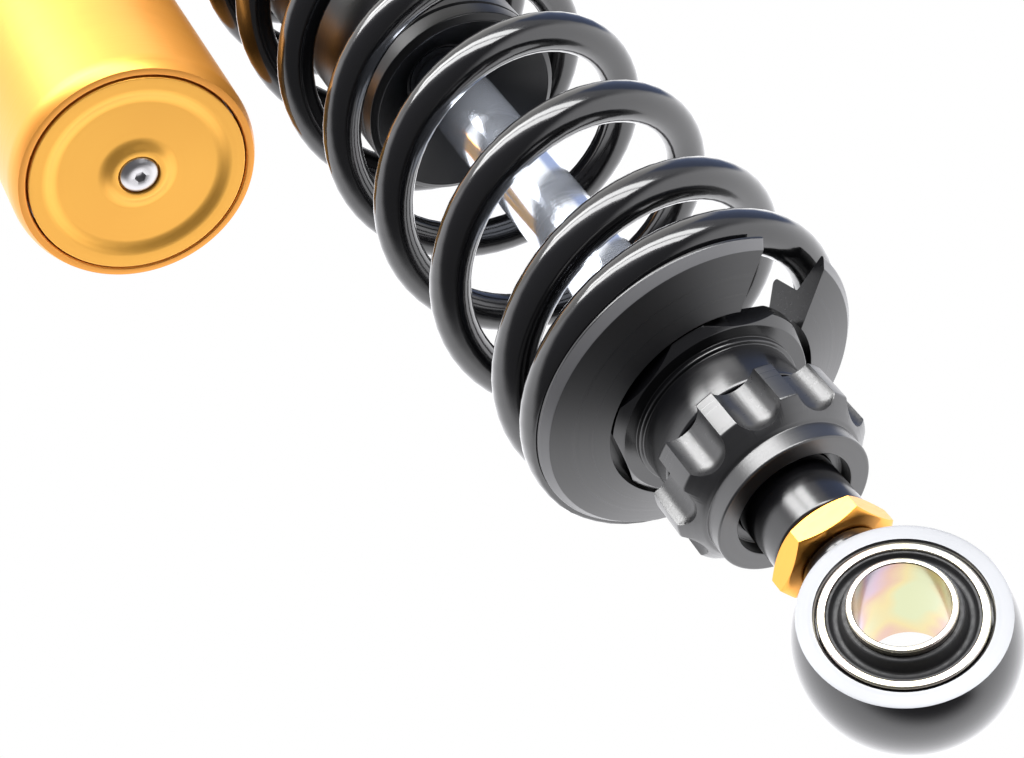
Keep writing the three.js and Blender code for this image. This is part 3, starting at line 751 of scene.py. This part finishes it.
def coil_rise(turns):
    end_turns = CLOSED_TURNS + RAMP_TURNS
    if turns <= end_turns:
        return end_rise(turns)
    middle = end_rise(end_turns) + COIL_PITCH * (min(turns, TOTAL_TURNS - end_turns) - end_turns)
    if turns <= TOTAL_TURNS - end_turns:
        return middle
    return middle + end_rise(end_turns) - end_rise(TOTAL_TURNS - turns)


def coil_point(turns):
    angle = COIL_START_ANGLE + TAU * turns
    return Vector((COIL_R * math.cos(angle), COIL_R * math.sin(angle), COIL_START + coil_rise(turns)))


def make_spring():
    """Round wire swept along the coil, with both ends ground flat. Each section's share of the rod's travel
    is worked out into weights, which nothing here uses."""
    sides, steps_per_turn = 40, 56
    steps = round(TOTAL_TURNS * steps_per_turn)
    ground_low, ground_high = low("main_spring"), high("main_spring")
    idle_turns = 1.2
    vertices, faces, weights = [], [], []
    for i in range(steps + 1):
        turns = TOTAL_TURNS * i / steps
        here = coil_point(turns)
        along = (coil_point(turns + 0.002) - coil_point(turns - 0.002)).normalized()
        out = Vector((here.x, here.y, 0)).normalized()
        up = along.cross(out).normalized()
        share = (turns - idle_turns) / (TOTAL_TURNS - 2 * idle_turns)
        weight = 1 - min(max(share, 0.0), 1.0)
        for k in range(sides):
            angle = TAU * k / sides
            point = here + (out * math.cos(angle) + up * math.sin(angle)) * WIRE_R
            point.z = min(max(point.z, ground_low), ground_high)
            vertices.append(point)
            weights.append(weight)
    for i in range(steps):
        for k in range(sides):
            m = (k + 1) % sides
            faces.append((i * sides + k, i * sides + m, (i + 1) * sides + m, (i + 1) * sides + k))
    faces.append(tuple(range(sides))[::-1])
    faces.append(tuple(steps * sides + k for k in range(sides)))
    spring = mesh_object("coil_spring", vertices, faces, [SPRING_COAT])
    smooth(spring, 50.0)
    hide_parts("main_spring")
    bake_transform(spring)


def make_lower_seat():
    """Dished cup with a counterbore below, a pilot for the spring above, and a slot to slip it on by."""
    top = high("lower_spring_seat")
    rim_top = top - 4.6 * MM
    rim_bottom = rim_top - 0.5 * MM
    face_edge = rim_top - 1.8 * MM
    recess_top = rim_top - 2.1 * MM
    face_z = rim_top - 4.7 * MM
    dish_z = rim_top - 0.2 * MM
    hole_r, recess_r, face_r, rim_r = 6.5 * MM, 16.6 * MM, 24.8 * MM, radius("lower_spring_seat")
    pilot_r, pilot_top_r, lip_r, dish_r = 19.9 * MM, 18.9 * MM, 18.2 * MM, 11.8 * MM
    outline = rounded([
        (hole_r, recess_top), (recess_r, recess_top), (recess_r, face_z, 0.12 * MM),
        (face_r, face_edge, 0.1 * MM), (rim_r, rim_bottom, 0.15 * MM), (rim_r, rim_top, 0.25 * MM),
        (pilot_r, rim_top, 0.3 * MM), (pilot_top_r, top - 0.1 * MM, 0.5 * MM), (lip_r, top, 0.4 * MM),
        (dish_r, dish_z, 0.8 * MM), (hole_r, dish_z, 0.3 * MM),
    ], 3)

    # the bevel ring takes the lighter grey: a painted highlight
    def is_painted_highlight_bevel(r, h):
        return r > face_r - 0.05 * MM and face_edge < h < rim_bottom

    seat = lathe("slotted_seat", outline, [BLACK_ANODISED, BEVEL_HIGHLIGHT_GREY], segments=200, second=is_painted_highlight_bevel)
    slot_width, reach = 13.0 * MM, 40 * MM
    turn = Matrix.Rotation(math.radians(-42.0), 4, "Z")
    slot_block = block((reach, slot_width, reach), turn @ Matrix.Translation((reach / 2, 0, rim_top)))
    boolean(seat, [slot_block])
    bevel(seat, 0.12 * MM, 2, 40.0)
    show(smooth(seat), "lower_spring_seat")


def make_notched_ring(name, node):
    """Ring on the thread, with eight notches for a hook spanner."""
    bottom, top, outer = low(node), high(node), radius(node)
    notch_depth = 2.5 * MM
    outline = rounded([
        (RING_BORE_R, bottom, 0.4 * MM), (outer, bottom, 0.8 * MM),
        (outer, top, 0.8 * MM), (RING_BORE_R, top, 0.4 * MM),
    ], 3)
    ring = lathe(name, outline, [BLACK_ANODISED], segments=192)
    notches = []
    for i in range(8):
        turn = Matrix.Rotation(math.radians(22.5) + TAU * i / 8, 4, "Z")
        place = Matrix.Translation((outer, 0, (bottom + top) / 2))
        notches.append(block((notch_depth * 2, 6 * MM, 2 * (top - bottom)), turn @ place))
    boolean(ring, notches)
    bevel(ring, 0.2 * MM, 2, 40.0)
    show(smooth(ring), node)


def make_upper_seat():
    bottom, top, outer = low("upper_spring_seat"), high("upper_spring_seat"), radius("upper_spring_seat")
    plate = high("main_spring") + 0.1 * MM
    pilot_r = 20.0 * MM
    turned_piece("upper_seat_plate", [
        (RING_BORE_R, bottom), (pilot_r, bottom, 0.3 * MM), (pilot_r, plate, 0.2 * MM),
        (outer, plate, 0.6 * MM), (outer, top, 0.6 * MM), (RING_BORE_R, top, 0.2 * MM),
    ], BLACK_ANODISED, ["upper_spring_seat"])


make_spring()
make_lower_seat()
make_upper_seat()
make_notched_ring("preload_ring_notched", "preload_ring")
make_notched_ring("lock_ring_notched", "preload_lock_ring")


# ------------------------------------------------------------------ rod and damper body

def make_rod():
    bottom, top = low("piston_rod"), high("piston_rod")
    rod_r, tip_r, bore_r = radius("piston_rod"), 4.5 * MM, 1.9 * MM
    shoulder = top - 31 * MM
    turned_piece("chrome_rod", [
        (bore_r, bottom), (rod_r, bottom, 0.4 * MM), (rod_r, shoulder, 0.4 * MM), (tip_r, shoulder),
        (tip_r, top, 0.4 * MM), (bore_r, top),
    ], CHROME, ["piston_rod"], segments=192)


def make_damper_tube():
    """Plain barrel below and a rolled thread above, its crest climbing one pitch each turn."""
    bottom, top = low("damper_tube"), high("damper_tube")
    thread_r, barrel_r, bore_r = radius("damper_tube"), 17.6 * MM, 15.0 * MM
    thread_bottom = bottom + 84.5 * MM
    run_in = 1.2 * MM
    depth = 0.75 * MM
    segments, steps_per_pitch = 96, 6
    heights = [bottom, bottom + 0.5 * MM, thread_bottom, thread_bottom + run_in]
    count = round((top - heights[-1] - run_in) / THREAD_PITCH * steps_per_pitch)
    step = (top - run_in - heights[-1]) / count
    heights += [thread_bottom + run_in + step * (i + 1) for i in range(count)]
    heights += [top]
    vertices, faces = [], []
    for height in heights:
        for i in range(segments):
            turn = i / segments
            r = barrel_r
            if height > thread_bottom:
                phase = (height / THREAD_PITCH - turn) % 1.0
                wave = min(1.0, 1.6 * abs(2 * phase - 1))
                r = thread_r - depth * (1 - wave)
            if height in (bottom, top):
                r -= 0.5 * MM
            vertices.append((r * math.cos(TAU * turn), r * math.sin(TAU * turn), height))
    for height in (top, bottom):
        vertices += [(bore_r * math.cos(TAU * i / segments), bore_r * math.sin(TAU * i / segments), height)
                     for i in range(segments)]
    rows = len(heights) + 2
    for row in range(rows):
        here, above = row * segments, (row + 1) % rows * segments
        for i in range(segments):
            j = (i + 1) % segments
            faces.append((here + i, here + j, above + j, above + i))
    tube = mesh_object("threaded_tube", vertices, faces, [TUBE_BLACK])
    show(smooth(tube, 40.0), "damper_tube")


def make_end_cap():
    """Cap with a coned mouth round the rod, and the wiper ring that closes it."""
    bottom, top, outer = low("tube_end_cap"), high("tube_end_cap"), radius("tube_end_cap")
    low_lip, high_lip = low("rod_wiper"), high("rod_wiper")
    rod_hole_r, mouth_r, spigot_r, pocket_r = 7.1 * MM, 16.4 * MM, 14.85 * MM, 8.8 * MM
    mouth_top, pocket_bottom = low_lip - 0.8 * MM, low_lip - 0.2 * MM
    shoulder = bottom + 4.3 * MM
    turned_piece("end_cap", [
        (rod_hole_r, pocket_bottom), (rod_hole_r, mouth_top, 0.2 * MM), (mouth_r, bottom, 0.2 * MM),
        (outer, bottom + 0.8 * MM, 0.2 * MM), (outer, shoulder, 0.3 * MM), (spigot_r, shoulder),
        (spigot_r, top), (pocket_r, top), (pocket_r, pocket_bottom),
    ], TUBE_BLACK, ["tube_end_cap"])
    wiper_r, lip_r, ring_r = radius("piston_rod") + 0.1 * MM, 7.4 * MM, 8.6 * MM
    step = low_lip + 0.5 * MM
    turned_piece("wiper_ring", [
        (wiper_r, low_lip, 0.1 * MM), (lip_r, low_lip, 0.2 * MM), (lip_r + 0.6 * MM, step, 0.2 * MM),
        (ring_r, step, 0.2 * MM), (ring_r, high_lip, 0.2 * MM), (wiper_r, high_lip),
    ], RUBBER, ["rod_wiper"])


make_rod()
make_damper_tube()
make_end_cap()


# ------------------------------------------------------------------ head

def make_head():
    """Casting: its rough body is one remeshed skin with soft fillets, and its eye is turned."""
    top_eye = make_eye("top_eye_ball", UPPER_EYE)
    bottom, reservoir_bottom = high("damper_tube") - 9.7 * MM, high("reservoir_tube") - 11.8 * MM
    cap_top = bottom + 25 * MM
    head_r, reservoir_head_r = 22.5 * MM, 24.2 * MM
    core_r = 0.5 * MM
    damper_cap = lathe("damper_cap", [
        (core_r, bottom), (head_r - 1 * MM, bottom), (head_r, bottom + 1 * MM), (head_r, cap_top - 4 * MM),
        (head_r - 4 * MM, cap_top), (13 * MM, cap_top + 2 * MM), (9.5 * MM, cap_top + 12 * MM),
        (9 * MM, UPPER_EYE.z - 11 * MM), (core_r, UPPER_EYE.z - 11 * MM),
    ], [CAST_PAINT], segments=96)
    reservoir_cap = lathe("reservoir_head", [
        (core_r, reservoir_bottom), (reservoir_head_r - 1 * MM, reservoir_bottom),
        (reservoir_head_r, reservoir_bottom + 1 * MM), (reservoir_head_r, cap_top - 4 * MM),
        (reservoir_head_r - 4 * MM, cap_top), (11 * MM, cap_top), (10.5 * MM, cap_top + 3 * MM),
        (core_r, cap_top + 3 * MM),
    ], [CAST_PAINT], at=RESERVOIR, segments=96)
    bridge_low, bridge_high = bottom + 2 * MM, bottom + 22 * MM
    waist, shoulder = 12 * MM, 18.3 * MM
    side = []
    count = 16
    for i in range(count + 1):
        t = i / count
        side.append((RESERVOIR.x * t, waist + (shoulder - waist) * (2 * t - 1) ** 2))
    ring = [(x, -y) for x, y in side] + [(x, y) for x, y in reversed(side)]
    total = len(ring)
    vertices = [(x, y, bridge_low) for x, y in ring] + [(x, y, bridge_high) for x, y in ring]
    faces = [tuple(range(total)), tuple(range(total, 2 * total))[::-1]]
    faces += [(i, i + total, (i + 1) % total + total, (i + 1) % total) for i in range(total)]
    bridge = mesh_object("bridge", vertices, faces, [CAST_PAINT])
    skin = boolean(damper_cap, [reservoir_cap, bridge], "UNION")
    remesh = skin.modifiers.new("skin", "REMESH")
    remesh.mode = "VOXEL"
    remesh.voxel_size = 0.7 * MM
    ease = skin.modifiers.new("ease", "SMOOTH")
    ease.factor = 0.5
    ease.iterations = 4
    applied(skin)
    skin.data.materials.clear()
    skin.data.materials.append(CAST_PAINT)
    return skin, top_eye


def join(target, other):
    """One object from two: other's mesh goes into target's."""
    built = bmesh.new()
    built.from_mesh(target.data)
    shift = len(target.data.materials)
    start = len(built.faces)
    built.from_mesh(other.data)
    built.faces.ensure_lookup_table()
    for face in built.faces[start:]:
        face.material_index += shift
    for material in other.data.materials:
        target.data.materials.append(material)
    built.to_mesh(target.data)
    built.free()
    bpy.data.objects.remove(other)
    return target


skin, top_eye = make_head()
head = join(skin, top_eye)
head.name = "head_casting"
show(smooth(head, 40.0), "head")


# ------------------------------------------------------------------ reservoir

def make_reservoir_barrel():
    bottom, top, outer = low("reservoir_tube"), high("reservoir_tube"), radius("reservoir_tube")
    pocket_r, inner_r, spigot_r = 20.35 * MM, 19.0 * MM, 21.0 * MM
    pocket_top, spigot_bottom = bottom + 9.5 * MM, top - 12 * MM
    edge_r, edge_top, edge_sweep, edge_steps = 7.7 * MM, bottom + 3.9 * MM, math.radians(30), 12
    edge = []
    for k in range(edge_steps + 1):
        angle = edge_sweep * (1 - k / edge_steps)
        edge.append((outer - edge_r * (1 - math.cos(angle)), edge_top - edge_r * math.sin(angle)))
    turned_piece("reservoir_barrel", [
        (pocket_r, bottom + 0.3 * MM), (pocket_r + 0.25 * MM, bottom, 0.1 * MM),
        (pocket_r + 0.95 * MM, bottom, 0.3 * MM), *edge, (outer, spigot_bottom, 0.3 * MM),
        (spigot_r, spigot_bottom), (spigot_r, top), (inner_r, top), (inner_r, pocket_top),
        (pocket_r, pocket_top),
    ], GOLD_BODY_PAINTED_SHADE, ["reservoir_tube"], at=RESERVOIR, segments=224)


def make_reservoir_cap():
    """Cap with a recess for the screw, a boss round it and a shallow dish round the boss."""
    face, top, outer = low("reservoir_cap"), high("reservoir_cap"), radius("reservoir_cap")
    recess_top, dish_z = face + 1.2 * MM, face + 0.9 * MM
    screw_r, recess_r, boss_r, dish_r, edge_r = 2.7 * MM, 3.9 * MM, 5.1 * MM, 15.4 * MM, 20.0 * MM
    clip_r, clip_bottom, clip_top = outer - 0.9 * MM, face + 3.3 * MM, face + 4.6 * MM
    slope = 1.6 * MM
    turned_piece("reservoir_end_cap", [
        (screw_r, recess_top), (recess_r, recess_top), (recess_r, face, 0.2 * MM),
        (boss_r, face, 0.7 * MM), (boss_r + slope, dish_z, 1.0 * MM),
        (dish_r, dish_z, 1.4 * MM), (dish_r + slope, face + 0.05 * MM, 0.7 * MM),
        (edge_r, face, 0.25 * MM), (edge_r, clip_bottom), (clip_r, clip_bottom), (clip_r, clip_top),
        (outer, clip_top), (outer, top, 0.3 * MM), (screw_r, top),
    ], GOLD_CAP_PAINTED_LIGHT, ["reservoir_cap"], at=RESERVOIR, segments=224)


def make_valve_screw():
    bottom, top = low("gas_valve_screw"), high("gas_valve_screw")
    head_r, shank_r, core_r = radius("gas_valve_screw"), 2.5 * MM, 0.02 * MM
    head_top = bottom + 1.9 * MM
    outline = rounded([
        (core_r, bottom), (head_r - 1.2 * MM, bottom, 0.8 * MM), (head_r, bottom + 0.8 * MM, 0.5 * MM),
        (head_r, head_top, 0.2 * MM), (shank_r, head_top), (shank_r, top), (core_r, top),
    ], 6)
    screw = lathe("valve_screw", outline, [BRIGHT_STEEL], at=RESERVOIR, segments=96)
    socket = prism(6, 1.1 * MM, bottom - 1 * MM, bottom + 1.0 * MM, 0.2, RESERVOIR)
    boolean(screw, [socket])
    bevel(screw, 0.08 * MM, 2, 40.0)
    show(smooth(screw), "gas_valve_screw")


def make_compression_adjuster():
    bottom, top = low("compression_knob"), high("compression_knob")
    outer, bore_r = 9.5 * MM, 3.2 * MM
    knob = lathe("compression_dial", rounded([
        (bore_r, bottom), (outer, bottom, 0.5 * MM), (outer, top, 1.0 * MM), (bore_r, top, 0.3 * MM),
    ], 4), [KNOB_GREY], at=RESERVOIR, segments=160)
    flutes = []
    for i in range(10):
        angle = TAU * i / 10
        place = RESERVOIR + Vector((math.cos(angle), math.sin(angle), 0)) * (outer + 0.8 * MM)
        flutes.append(prism(32, 2.0 * MM, bottom - 1 * MM, top + 1 * MM, 0.0, place))
    boolean(knob, flutes)
    bevel(knob, 0.15 * MM, 2, 40.0)
    show(smooth(knob), "compression_knob")
    stem_low, stem_top = low("compression_valve_stem"), high("compression_valve_stem")
    core_r, tip_r, stem_r = 0.02 * MM, 1.5 * MM, 3.0 * MM
    turned_piece("valve_stem", [
        (core_r, stem_low), (tip_r, stem_low), (stem_r, stem_low + 3 * MM), (stem_r, stem_top, 0.4 * MM),
        (core_r, stem_top),
    ], STEEL, ["compression_valve_stem"], at=RESERVOIR, segments=64)


make_reservoir_barrel()
make_reservoir_cap()
make_valve_screw()
make_compression_adjuster()
